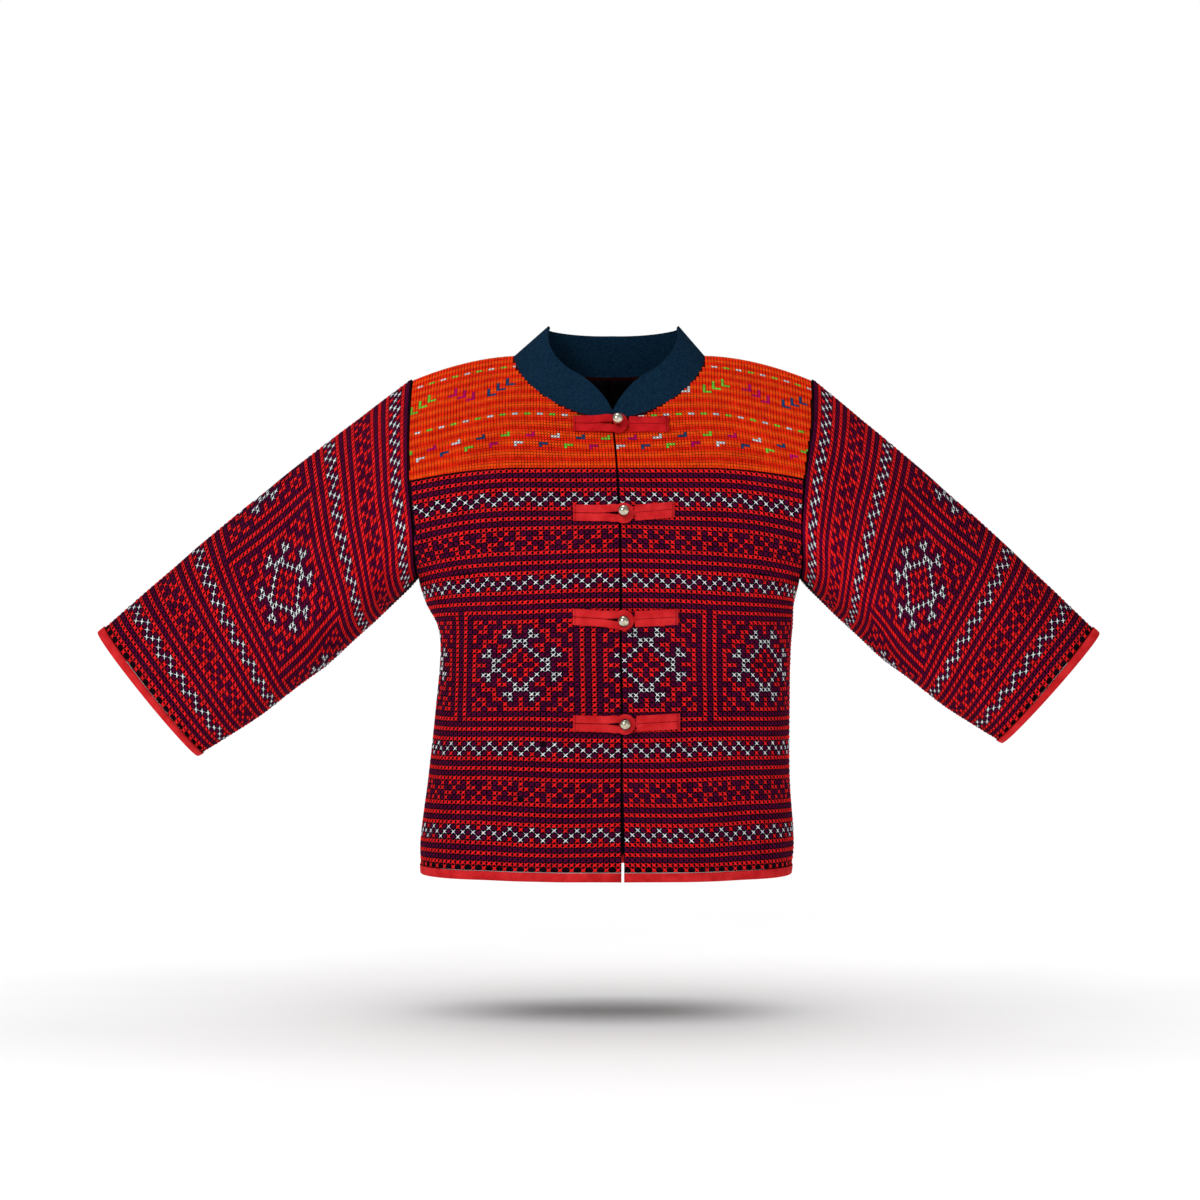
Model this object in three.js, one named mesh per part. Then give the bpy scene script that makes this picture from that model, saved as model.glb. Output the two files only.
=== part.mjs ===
// A short festival jacket of cross-stitched cotton, filled out as worn with nobody in it.
// Millimetres, +Z up. -Y is the front, and +X is the wearer's left. The origin is the middle of the
// neck, level with the tops of the shoulders.
import * as THREE from "three";

// ---- driving sizes -------------------------------------------------------------------------------

const WALL = 2.4; // embroidered cotton with its stitches
const SEAM = 0.3; // clearance between pieces that are sewn together
const HEM = -517; // lower edge of the body
const ARMPIT = -222; // where the side seam meets the sleeve
const YOKE = -117; // seam under the yoke, at the centre
const BINDING = 9; // height of the red strip at hem and cuffs
const BINDING_WALL = 3.2;

const SHOULDER_X = 200; // half the width across the shoulders
const SHOULDER_DROP = 25; // fall from neck to shoulder tip
const SHOULDER_BEND = 1.8; // how late the shoulder starts to fall
const NECK_BEND = { front: 1.7, back: 2 }; // exponents of the two neckline curves
const NECK_DEPTH = { front: 66.5, back: 18 };
const NECK_HALF = { right: 97, left: 92 };
const PLACKET = { closed: 0.5, open: 1.3, from: -415, over: 60 }; // half gap between the two fronts

const SQUARENESS = 2.4; // exponent of a level section, front or back
const CHEST_BEND = { front: 1.5, back: 2 }; // exponents of the slope from chest to shoulder
const ARMHOLE_REACH = { front: 0.84, back: 0.8 }; // armhole depth as a share of the body's depth
const ARMHOLE_TURN = 0.5; // share of the armhole's height where it stops widening

// The body's side line on each side, its centre line, and how deep it is in front and behind.
const LEVELS = [
  { z: -517, right: 191, left: 179, centre: 10, front: 113, back: 105 },
  { z: -485, right: 192, left: 182, centre: 10, front: 112, back: 103 },
  { z: -420, right: 184, left: 178, centre: 9, front: 107, back: 96 },
  { z: -345, right: 176, left: 178, centre: 9, front: 106, back: 92 },
  { z: -295, right: 172, left: 179, centre: 8, front: 112, back: 97 },
  { z: -270, right: 175, left: 181, centre: 8, front: 116, back: 100 },
  { z: -249, right: 186, left: 182, centre: 8, front: 119, back: 102 },
  { z: -222, right: 194, left: 188, centre: 8, front: 121, back: 104 },
  { z: -165, right: 195, left: 185, centre: 7, front: 121, back: 104 },
  { z: -110, right: 199, left: 189, centre: 4, front: 121, back: 104 },
  { z: -60, right: 200, left: 196, centre: 0, front: 121, back: 104 },
  { z: 0, right: 200, left: 200, centre: 0, front: 121, back: 104 },
];

// Soft vertical folds: at a share of the way to the side, between two heights, with a half width
// (as a share of the way) and a height in millimetres, outward or, where negative, inward.
const BODY_FOLDS = [
  { face: "front", side: "right", share: 0.3, low: -560, high: -330, width: 0.09, height: 2.5 },
  { face: "front", side: "right", share: 0.66, low: -560, high: -300, width: 0.12, height: -4 },
  { face: "front", side: "right", share: 0.72, low: -330, high: -190, width: 0.12, height: -4 },
  { face: "front", side: "left", share: 0.38, low: -560, high: -370, width: 0.1, height: 2 },
  { face: "front", side: "left", share: 0.7, low: -560, high: -290, width: 0.12, height: -4 },
  { face: "front", side: "left", share: 0.74, low: -300, high: -180, width: 0.11, height: -3 },
  { face: "back", side: "right", share: 0.2, low: -560, high: -260, width: 0.1, height: 4 },
  { face: "back", side: "right", share: 0.6, low: -560, high: -240, width: 0.12, height: -5 },
  { face: "back", side: "left", share: 0.3, low: -560, high: -300, width: 0.11, height: 4 },
  { face: "back", side: "left", share: 0.68, low: -560, high: -220, width: 0.12, height: -5 },
];

// Each sleeve hangs away from its shoulder tip: its slope below level, the length of its upper
// edge, and the cuff's width and depth.
const SLEEVES = {
  right: { sign: -1, slope: 39.1, length: 403, width: 154, depth: 70 },
  left: { sign: 1, slope: 41.7, length: 383, width: 142, depth: 68 },
};
const SLEEVE_SAG = 11; // fullness under the arm
const SLEEVE_CAP = 5; // fullness over the arm

// Creases of a sleeve: along it (share of its length) and round it (share of a turn from the
// shoulder, by way of the front), from one end to the other, with half width and height.
const SLEEVE_FOLDS = [
  { from: [0.02, 0.42], to: [0.3, 0.3], width: 0.06, height: -5 },
  { from: [0.05, 0.47], to: [0.5, 0.4], width: 0.05, height: -5 },
  { from: [0.3, 0.16], to: [0.62, 0.24], width: 0.07, height: -3 },
  { from: [0.04, 0.6], to: [0.4, 0.72], width: 0.06, height: -6 },
  { from: [0.45, 0.55], to: [0.8, 0.66], width: 0.06, height: -4 },
];

// The collar's slant at shares of the way from centre front to centre back: towards the neck's
// middle, towards the back, and up.
const COLLAR = [
  { z: 0, inward: 2, backward: 10, up: 36 },
  { z: 0.15, inward: 4, backward: 14, up: 36 },
  { z: 0.3, inward: 17, backward: 10, up: 35 },
  { z: 0.4, inward: 27, backward: 6, up: 32 },
  { z: 0.5, inward: 33, backward: 0, up: 29 },
  { z: 0.6, inward: 27, backward: -3, up: 33 },
  { z: 0.75, inward: 12, backward: -7, up: 37 },
  { z: 1, inward: 0, backward: -8, up: 39 },
];
const COLLAR_ROUND = 0.16; // share over which the collar's front end is rounded off
const COLLAR_END = 0.12; // height left at the very front, as a share of the full height
const COLLAR_GAP = 0.6; // half the gap between the collar's two front ends
const COLLAR_LEAN = { right: 1, left: 0.76 }; // the left half stands more upright

const LINING_FOOT = -105; // lower edge of the black lining of the upper back
const LINING_WALL = 1.2;
const LINING_GAP = 1.5; // room between the yoke and the lining
const LINING_REACH = 0.42; // share of the half neckline, from centre back, that it follows

// Frogs: centre of the button, and the outer end of the tape on each side.
const FROGS = [
  { x: 5.4, z: -73.6, loopEnd: -38, tabEnd: 55, fall: 1, rise: 0 },
  { x: 10.8, z: -162, loopEnd: -38, tabEnd: 60, fall: 1, rise: 4 },
  { x: 10.7, z: -264, loopEnd: -38, tabEnd: 63, fall: 3, rise: 3 },
  { x: 12.2, z: -365, loopEnd: -38, tabEnd: 65, fall: 1, rise: 3 },
];
const TAPE = { run: 7.8, wall: 1.4, lift: 0.4 };
const LOOP_EYE = 2.3; // radius of the eye round the button's stem
const LOOP_RAISE = 1.9; // how far the eye lies above the tab under it
const BUTTON = { radius: 5.8, stem: 1.7, gap: 0.9 };

// ---- the garment's form --------------------------------------------------------------------------

// A smooth curve through one column of a table, by height or share z.
function along(table, key, z) {
  const last = table.length - 1;
  const here = Math.min(Math.max(z, table[0].z), table[last].z);
  let i = 0;
  while (i < last - 1 && here > table[i + 1].z) i += 1;
  const slope = (k) => {
    const before = table[Math.max(k - 1, 0)];
    const after = table[Math.min(k + 1, last)];
    return (after[key] - before[key]) / (after.z - before.z);
  };
  const [low, high] = [table[i], table[i + 1]];
  const span = high.z - low.z;
  const t = (here - low.z) / span;
  const step = (high[key] - low[key]) * t * t * (3 - 2 * t);
  return low[key] + step + span * t * (1 - t) * ((1 - t) * slope(i) - t * slope(i + 1));
}

const bump = (distance) => Math.exp(-distance * distance);
const ramp = (t) => Math.min(Math.max(t, 0), 1) ** 2 * (3 - 2 * Math.min(Math.max(t, 0), 1));

// Fold height at a share of the way to the side and a height, fading out at the seams.
function bodyFold(face, side, share, level) {
  let height = 0;
  for (const fold of BODY_FOLDS) {
    if (fold.face !== face || fold.side !== side) continue;
    const ends = ramp((fold.high - level) / 60) * ramp((level - fold.low) / 40);
    height += fold.height * ends * bump((share - fold.share) / fold.width);
  }
  return height * (1 - share ** 8);
}

function shoulderHeight(x) {
  const out = Math.max(Math.abs(x) - NECK_HALF.left, 0) / (SHOULDER_X - NECK_HALF.left);
  return -SHOULDER_DROP * out ** SHOULDER_BEND;
}

// Outer surface of the body: face "front" or "back", side "right" or "left", share of the way
// from the centre line (0) to the side seam or armhole (1), and level, the height at the centre.
// Above the armpit the levels rise with the shoulder line and the surface slopes in to it.
function bodyPoint(face, side, share, level) {
  const sign = side === "right" ? -1 : 1;
  const front = face === "front" ? -1 : 1;
  const climb = Math.min(Math.max((level - ARMPIT) / -ARMPIT, 0), 1);
  const centre = along(LEVELS, "centre", level);
  const x = centre + share * (sign * along(LEVELS, side, level) - centre);
  const z = climb > 0 ? ARMPIT + climb * (shoulderHeight(x) - ARMPIT) : level;
  const bend = CHEST_BEND[face];
  const slope = (1 - climb ** bend) ** (1 / bend);
  const turn = Math.max(1 - climb / ARMHOLE_TURN, 0);
  const reach = ARMHOLE_REACH[face] * Math.sqrt(1 - turn * turn);
  const round = 1 - share ** SQUARENESS * (1 - reach ** SQUARENESS);
  const depth = along(LEVELS, face, level) * slope * round ** (1 / SQUARENESS);
  const fold = bodyFold(face, side, share, level);
  return new THREE.Vector3(x, front * (SEAM / 2 + Math.max(depth + fold, 0)), z);
}

// Outward normal of a surface given by two numbers, found from four points close round it.
function normalOf(surface, u, v, stepU, stepV, uRange, vRange) {
  const inside = (value, [low, high]) => Math.min(Math.max(value, low), high);
  const alongU = surface(inside(u + stepU, uRange), v).sub(surface(inside(u - stepU, uRange), v));
  const alongV = surface(u, inside(v + stepV, vRange)).sub(surface(u, inside(v - stepV, vRange)));
  return alongU.cross(alongV).normalize();
}

// The body surface moved out (or, where negative, in) along its normal, kept off the seam planes.
function bodyOffset(face, side, share, level, out) {
  const sign = side === "right" ? -1 : 1;
  const front = face === "front" ? -1 : 1;
  const surface = (u, v) => bodyPoint(face, side, u, v);
  const normal = normalOf(surface, share, level, 0.004, 1, [0, 0.9999], [HEM, -0.5]);
  normal.multiplyScalar(-front * sign);
  const point = bodyPoint(face, side, share, level).addScaledVector(normal, out);
  const centre = along(LEVELS, "centre", level);
  if (share < 0.02) point.x = centre + share * (sign * along(LEVELS, side, level) - centre);
  point.y = front * Math.max(front * point.y, SEAM / 2);
  return point;
}

// Share of the way to the side where a front's free edge lies: the fronts part below the last frog.
function freeEdge(side, level) {
  const parted = ramp((PLACKET.from - level) / PLACKET.over);
  const gap = PLACKET.closed + (PLACKET.open - PLACKET.closed) * parted;
  return gap / along(LEVELS, side, level);
}

// Share of the way to the side that spreads points evenly round a level's curve.
function evenShare(face, part, level) {
  const climb = Math.min(Math.max((level - ARMPIT) / -ARMPIT, 0), 1);
  const turn = Math.max(1 - climb / ARMHOLE_TURN, 0);
  const reach = ARMHOLE_REACH[face] * Math.sqrt(1 - turn * turn);
  const end = Math.acos(reach ** (SQUARENESS / 2));
  return (Math.sin(part * end) / Math.sin(end)) ** (2 / SQUARENESS);
}

// Neckline from centre front (0) over the shoulder (0.5) to centre back (1).
function neckPoint(side, part) {
  const face = part < 0.5 ? "front" : "back";
  const angle = Math.min(part, 1 - part) * Math.PI;
  const power = 2 / NECK_BEND[face];
  const sign = side === "right" ? -1 : 1;
  const x = sign * NECK_HALF[side] * Math.sin(angle) ** power;
  const level = -NECK_DEPTH[face] * Math.cos(angle) ** power;
  const share = x / (sign * along(LEVELS, side, level));
  return { face, share, level };
}

// ---- making closed solids ------------------------------------------------------------------------

// A closed solid from two grids of points, outer(i, j) and inner(i, j), joined round their edges.
// A grid that wraps meets itself in j.
function shell(rows, columns, outer, inner, wraps = false) {
  const width = wraps ? columns : columns + 1;
  const points = [];
  for (const side of [outer, inner]) {
    for (let i = 0; i <= rows; i += 1) {
      for (let j = 0; j < width; j += 1) points.push(...side(i, j).toArray());
    }
  }
  const layer = (rows + 1) * width;
  const at = (side, i, j) => side * layer + i * width + (j % width);
  const faces = [];
  const quad = (a, b, c, d) => faces.push(a, b, c, a, c, d);
  for (let i = 0; i < rows; i += 1) {
    for (let j = 0; j < columns; j += 1) {
      quad(at(0, i, j), at(0, i, j + 1), at(0, i + 1, j + 1), at(0, i + 1, j));
      quad(at(1, i + 1, j), at(1, i + 1, j + 1), at(1, i, j + 1), at(1, i, j));
    }
  }
  for (let j = 0; j < columns; j += 1) {
    quad(at(0, 0, j + 1), at(0, 0, j), at(1, 0, j), at(1, 0, j + 1));
    quad(at(0, rows, j), at(0, rows, j + 1), at(1, rows, j + 1), at(1, rows, j));
  }
  for (let i = 0; i < rows && !wraps; i += 1) {
    quad(at(0, i, 0), at(0, i + 1, 0), at(1, i + 1, 0), at(1, i, 0));
    quad(at(0, i + 1, columns), at(0, i, columns), at(1, i, columns), at(1, i + 1, columns));
  }
  return facesOut(points, faces);
}

// A geometry whose triangles all face out: a solid that came out inside out is turned over.
function facesOut(points, faces) {
  const corner = (k) => new THREE.Vector3().fromArray(points, 3 * faces[k]);
  let volume = 0;
  for (let k = 0; k < faces.length; k += 3) {
    volume += corner(k).dot(corner(k + 1).cross(corner(k + 2)));
  }
  const geometry = new THREE.BufferGeometry();
  geometry.setAttribute("position", new THREE.Float32BufferAttribute(points, 3));
  geometry.setIndex(volume < 0 ? faces.toReversed() : faces);
  return geometry;
}

const jacket = new THREE.Group();

const material = (color, roughness, metalness = 0) =>
  new THREE.MeshStandardMaterial({ color, roughness, metalness });
const MATERIALS = {
  embroidery: material(0x8c1020, 0.85),
  yoke: material(0xf2551a, 0.8),
  navy: material(0x123450, 0.75),
  lining: material(0x0c0a0e, 0.8),
  tape: material(0xd8262c, 0.65),
  metal: material(0xc9bf98, 0.3, 1),
};

function add(name, geometry, finish) {
  const mesh = new THREE.Mesh(geometry, MATERIALS[finish]);
  mesh.name = name;
  jacket.add(mesh);
  return mesh;
}

const mix = (low, high, part) => low + (high - low) * part;

// ---- body panels, yoke, hem bindings -------------------------------------------------------------

// A front between two levels, from out millimetres outside the form to out - wall inside it.
function frontPanel(side, low, high, rows, columns, wall, out = 0) {
  const place = (depth) => (i, j) => {
    const level = mix(low, high, i / rows);
    const start = freeEdge(side, level);
    const share = start + (1 - start) * evenShare("front", j / columns, level);
    return bodyOffset("front", side, share, level, depth);
  };
  return shell(rows, columns, place(out), place(out - wall));
}

// The whole back between two levels, from one side seam to the other.
function backPanel(low, high, rows, columns, wall, out = 0) {
  const place = (depth) => (i, j) => {
    const level = mix(low, high, i / rows);
    const part = (2 * j) / columns - 1;
    const side = part < 0 ? "right" : "left";
    return bodyOffset("back", side, evenShare("back", Math.abs(part), level), level, depth);
  };
  return shell(rows, columns, place(out), place(out - wall));
}

for (const side of ["right", "left"]) {
  const foot = HEM + BINDING;
  add(`front_${side}`, frontPanel(side, foot + SEAM, YOKE - SEAM / 2, 14, 10, WALL), "embroidery");
  const strip = frontPanel(side, HEM, foot, 1, 10, BINDING_WALL, 0.4);
  add(`hem_binding_front_${side}`, strip, "tape");
}
add("back", backPanel(HEM + BINDING + SEAM, YOKE - SEAM / 2, 14, 18, WALL), "embroidery");
add("hem_binding_back", backPanel(HEM, HEM + BINDING, 1, 18, BINDING_WALL, 0.4), "tape");

// Yoke: columns run from the seam up to the neckline and then, past it, to the shoulder seam.
const YOKE_NECK_COLUMNS = 6;
const YOKE_SHOULDER_COLUMNS = 4;

// Share and top level of a yoke column, counted out from the centre.
function yokeColumn(face, side, column) {
  if (column > YOKE_NECK_COLUMNS) {
    const corner = NECK_HALF[side] / SHOULDER_X;
    const share = mix(corner, 1, (column - YOKE_NECK_COLUMNS) / YOKE_SHOULDER_COLUMNS);
    return { share, top: -0.02 };
  }
  const part = (0.5 * column) / YOKE_NECK_COLUMNS;
  const neck = neckPoint(side, face === "front" ? part : 1 - part);
  return { share: neck.share, top: Math.min(neck.level, -0.02) };
}

function yokeOffset(face, side, column, part, depth) {
  const { share, top } = yokeColumn(face, side, column);
  const level = mix(YOKE + SEAM / 2, top, 1 - (1 - part) ** 1.5);
  const start = face === "front" ? freeEdge(side, level) : 0;
  return bodyOffset(face, side, Math.max(share, start), level, depth);
}

const YOKE_COLUMNS = YOKE_NECK_COLUMNS + YOKE_SHOULDER_COLUMNS;
const YOKE_ROWS = 7;
for (const side of ["right", "left"]) {
  const place = (depth) => (i, j) => yokeOffset("front", side, j, i / YOKE_ROWS, depth);
  const cloth = shell(YOKE_ROWS, YOKE_COLUMNS, place(0), place(-WALL));
  add(`yoke_front_${side}`, cloth, "yoke");
}
const backYoke = (depth) => (i, j) => {
  const column = j - YOKE_COLUMNS;
  const side = column < 0 ? "right" : "left";
  return yokeOffset("back", side, Math.abs(column), i / YOKE_ROWS, depth);
};
add("yoke_back", shell(YOKE_ROWS, 2 * YOKE_COLUMNS, backYoke(0), backYoke(-WALL)), "yoke");

// Lining: the upper back's inside, below the collar, in two halves with a seam between them.
for (const side of ["right", "left"]) {
  const rows = 4;
  const columns = 6;
  const place = (depth) => (i, j) => {
    const neck = neckPoint(side, 1 - (LINING_REACH * j) / columns);
    const share = Math.max(neck.share, 0.5 / NECK_HALF[side]);
    const level = mix(LINING_FOOT, neck.level - 2, 1 - (1 - i / rows) ** 1.5);
    return bodyOffset("back", side, share, level, depth);
  };
  const outside = -WALL - LINING_GAP;
  const cloth = shell(rows, columns, place(outside), place(outside - LINING_WALL));
  add(`lining_${side}`, cloth, "lining");
}

// ---- sleeves and cuff bindings -------------------------------------------------------------------

function sleeveFold(along01, turn) {
  let height = 0;
  for (const fold of SLEEVE_FOLDS) {
    const part = (along01 - fold.from[0]) / (fold.to[0] - fold.from[0]);
    const centre = mix(fold.from[1], fold.to[1], part);
    const ends = ramp(part * 3) * ramp((1 - part) * 3);
    height += fold.height * ends * bump((turn - centre) / fold.width);
  }
  return height;
}

// Armhole edge of the body, once round from the shoulder by way of the front.
function armholePoint(side, turn) {
  const face = turn < 0.5 ? "front" : "back";
  const climb = (1 + Math.cos(2 * Math.PI * turn)) / 2;
  return bodyPoint(face, side, 1, Math.min(ARMPIT - ARMPIT * climb, -0.02));
}

// Outer surface of a sleeve: share of its length from the armhole, and turn round it from its
// upper edge by way of the front.
function sleevePoint(side, part, turn) {
  const { sign, slope, length, width, depth } = SLEEVES[side];
  const tilt = THREE.MathUtils.degToRad(slope);
  const outward = new THREE.Vector3(sign * Math.cos(tilt), 0, -Math.sin(tilt));
  const down = new THREE.Vector3(-sign * Math.sin(tilt), 0, -Math.cos(tilt));
  const angle = 2 * Math.PI * turn;
  const root = armholePoint(side, turn);
  root.x += sign * 0.4;
  const tip = new THREE.Vector3(sign * SHOULDER_X, 0, -SHOULDER_DROP);
  const cuff = tip.addScaledVector(outward, length).addScaledVector(down, width / 2);
  cuff.addScaledVector(down, (-width / 2) * Math.cos(angle));
  cuff.y = (-depth / 2) * Math.sin(angle);
  const fullness = Math.sin(Math.PI * part);
  const sag = SLEEVE_SAG * Math.max(-Math.cos(angle), 0) * fullness ** 0.7;
  const cap = SLEEVE_CAP * Math.max(Math.cos(angle), 0) * fullness;
  const point = root.lerp(cuff, part).addScaledVector(down, sag - cap);
  const fold = sleeveFold(part, turn);
  point.y += -Math.sin(angle) * fold;
  return point.addScaledVector(down, -Math.cos(angle) * fold);
}

function sleeveOffset(side, part, turn, out) {
  const surface = (u, v) => sleevePoint(side, u, (v + 1) % 1);
  const normal = normalOf(surface, part, turn, 0.01, 0.01, [0, 1], [-1, 2]);
  if (part === 0) normal.setX(0).normalize();
  const axis = surface(part, 0).add(surface(part, 0.5)).multiplyScalar(0.5);
  const point = surface(part, turn);
  if (normal.dot(point.clone().sub(axis)) < 0) normal.negate();
  return point.addScaledVector(normal, out);
}

const SLEEVE_RINGS = 11;
const SLEEVE_SIDES = 28;
for (const side of ["right", "left"]) {
  const edge = 1 - BINDING / SLEEVES[side].length;
  const gap = SEAM / SLEEVES[side].length;
  const tube = (low, high, rings, wall, out) => {
    const place = (depth) => (i, j) =>
      sleeveOffset(side, mix(low, high, i / rings), j / SLEEVE_SIDES, depth);
    return shell(rings, SLEEVE_SIDES, place(out), place(out - wall), true);
  };
  add(`sleeve_${side}`, tube(0, edge - gap, SLEEVE_RINGS, WALL, 0), "embroidery");
  add(`cuff_binding_${side}`, tube(edge, 1, 1, BINDING_WALL, 0.4), "tape");
}

// ---- collar --------------------------------------------------------------------------------------

// Outer surface of the collar: turn from the wearer's right front end (-1) round the back (0) to
// the left front end (1), and height from the neckline (0) to the upper edge (1).
function collarPoint(turn, height) {
  const side = turn < 0 ? "right" : "left";
  const sign = turn < 0 ? -1 : 1;
  const part = 1 - Math.abs(turn);
  const neck = neckPoint(side, part);
  const base = bodyPoint(neck.face, side, neck.share, Math.min(neck.level, -0.02));
  const round = Math.min(part / COLLAR_ROUND, 1);
  const tall = mix(COLLAR_END, 1, 1 - (1 - round) ** 2);
  const rise = tall * height + 0.02;
  base.x -= sign * COLLAR_LEAN[side] * along(COLLAR, "inward", part) * rise;
  base.y += along(COLLAR, "backward", part) * rise;
  base.z += along(COLLAR, "up", part) * rise;
  base.x = sign * Math.max(sign * base.x, COLLAR_GAP);
  return base;
}

const COLLAR_ROWS = 3;
const COLLAR_COLUMNS = 40;
function collarOffset(turn, height, out) {
  const normal = normalOf(collarPoint, turn, height, 0.02, 0.1, [-1, 1], [0, 1]);
  const point = collarPoint(turn, height).addScaledVector(normal, out);
  const sign = Math.sign(turn);
  if (Math.abs(turn) > 0.9) point.x = sign * Math.max(sign * point.x, COLLAR_GAP);
  return point;
}
const collarGrid = (depth) => (i, j) =>
  collarOffset((2 * j) / COLLAR_COLUMNS - 1, i / COLLAR_ROWS, depth);
add("collar", shell(COLLAR_ROWS, COLLAR_COLUMNS, collarGrid(0), collarGrid(WALL)), "navy");

// ---- frogs and buttons ---------------------------------------------------------------------------

// A point above the fronts, at x and z, so far out from the cloth.
function aboveFront(x, z, out) {
  const centre = along(LEVELS, "centre", z);
  const side = x < centre ? "right" : "left";
  const sign = x < centre ? -1 : 1;
  const share = (x - centre) / (sign * along(LEVELS, side, z) - centre);
  return bodyOffset("front", side, share, z, out);
}

// A strip of tape laid on the fronts: stations of { x, z, across: [x, z], half, lift }.
function tape(stations) {
  const place = (top) => (i, j) => {
    const { x, z, across, half, lift } = stations[i];
    const shift = (2 * j - 1) * half;
    const out = TAPE.lift + lift + (top ? TAPE.wall : 0);
    return aboveFront(x + across[0] * shift, z + across[1] * shift, out);
  };
  return shell(stations.length - 1, 1, place(true), place(false));
}

// The loop: one folded tape that runs in above the line, round the button's stem, and out below.
function loopStations(frog) {
  const turnRadius = LOOP_EYE + TAPE.run / 2;
  const runs = TAPE.run / 2 + SEAM / 2;
  const neck = 9;
  const stations = [];
  const run = (x, half) => {
    const near = ramp((x - frog.x + 3 * neck) / (1.5 * neck));
    const open = mix(runs, turnRadius * 0.8, ramp((x - frog.x + 2 * neck) / neck));
    const fall = frog.fall * (1 - (x - frog.loopEnd) / (frog.x - frog.loopEnd));
    const z = frog.z + fall + half * open;
    return { x, z, across: [0, half], half: TAPE.run / 2, lift: LOOP_RAISE * near };
  };
  const length = frog.x - neck - frog.loopEnd;
  for (let k = 0; k <= 4; k += 1) stations.push(run(frog.loopEnd + (length * k) / 4, 1));
  for (let k = 0; k <= 8; k += 1) {
    const angle = mix(2.2, -2.2, k / 8);
    const across = [Math.cos(angle), Math.sin(angle)];
    const x = frog.x + turnRadius * across[0];
    const z = frog.z + turnRadius * across[1];
    stations.push({ x, z, across, half: TAPE.run / 2, lift: LOOP_RAISE });
  }
  for (let k = 4; k >= 0; k -= 1) stations.push(run(frog.loopEnd + (length * k) / 4, -1));
  return stations;
}

// The tab: a tongue under the button, then the full width of two folded runs.
function tabStations(frog) {
  const reach = LOOP_EYE + TAPE.run + 0.4;
  const station = (x, half) => {
    const z = frog.z + (frog.rise * (x - frog.x)) / (frog.tabEnd - frog.x);
    return { x, z, across: [0, 1], half, lift: 0 };
  };
  const start = frog.x + reach + 0.6;
  const stations = [
    station(frog.x - 3, 2),
    station(frog.x + reach, 3),
    station(start, TAPE.run),
  ];
  for (let k = 1; k <= 4; k += 1) {
    stations.push(station(mix(start, frog.tabEnd, k / 4), TAPE.run));
  }
  return stations;
}

// The button: a ball on a short stem, turned about the line straight out from the cloth.
function buttonGeometry() {
  const foot = TAPE.lift + TAPE.wall + SEAM;
  const middle = TAPE.lift + LOOP_RAISE + TAPE.wall + BUTTON.gap + BUTTON.radius;
  const start = Math.asin(BUTTON.stem / BUTTON.radius);
  const profile = [new THREE.Vector2(0, foot), new THREE.Vector2(BUTTON.stem, foot)];
  for (let k = 0; k <= 7; k += 1) {
    const angle = mix(start, Math.PI, k / 7);
    const x = k === 7 ? 0 : BUTTON.radius * Math.sin(angle);
    profile.push(new THREE.Vector2(x, middle - BUTTON.radius * Math.cos(angle)));
  }
  return new THREE.LatheGeometry(profile, 12);
}

const UP = new THREE.Vector3(0, 1, 0);
FROGS.forEach((frog, k) => {
  add(`frog_loop_${k + 1}`, tape(loopStations(frog)), "tape");
  add(`frog_tab_${k + 1}`, tape(tabStations(frog)), "tape");
  const button = add(`button_${k + 1}`, buttonGeometry(), "metal");
  const foot = aboveFront(frog.x, frog.z, 0);
  const out = aboveFront(frog.x, frog.z, 1).sub(foot).normalize();
  button.position.copy(foot);
  button.quaternion.setFromUnitVectors(UP, out);
});

export default jacket;
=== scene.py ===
import math

import bmesh
import bpy
import numpy as np
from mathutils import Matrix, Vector


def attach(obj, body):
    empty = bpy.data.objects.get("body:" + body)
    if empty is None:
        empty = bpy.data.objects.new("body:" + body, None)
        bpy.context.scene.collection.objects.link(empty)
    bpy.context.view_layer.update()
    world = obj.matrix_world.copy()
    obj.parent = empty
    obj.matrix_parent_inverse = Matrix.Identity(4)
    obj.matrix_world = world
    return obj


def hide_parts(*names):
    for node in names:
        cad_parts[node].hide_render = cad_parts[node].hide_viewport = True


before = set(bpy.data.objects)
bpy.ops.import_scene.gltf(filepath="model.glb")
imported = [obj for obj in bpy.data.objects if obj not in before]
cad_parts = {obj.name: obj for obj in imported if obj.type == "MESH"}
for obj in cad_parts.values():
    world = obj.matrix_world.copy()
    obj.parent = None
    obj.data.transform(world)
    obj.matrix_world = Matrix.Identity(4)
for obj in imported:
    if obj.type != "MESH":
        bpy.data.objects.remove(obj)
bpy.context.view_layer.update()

# ---- front panels ----
# Two fronts of black cotton, covered from yoke to hem with cross stitch in red, plum and white.
# Each is cut to a curve at its side and armhole, and they meet edge to edge down the placket.
# Sizes are in millimetres: -Y is the front, +X the wearer's left, the origin the neck's middle.

MM = 0.001
HEM, ARMPIT, YOKE, BINDING = -517, -222, -117, 9
SHOULDER_X, SHOULDER_DROP, SHOULDER_BEND = 200, 25, 1.8
NECK_HALF = {"right": 97, "left": 92}
PLACKET = {"closed": 0.5, "open": 1.3, "from": -415, "over": 60}
SQUARENESS = 2.4
CHEST_BEND = {"front": 1.5, "back": 2}
ARMHOLE_REACH = {"front": 0.84, "back": 0.8}
ARMHOLE_TURN = 0.5
SEAM = 0.3
SIGN = {"right": -1, "left": 1, "front": -1, "back": 1}
SIDES = ("right", "left")

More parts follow.
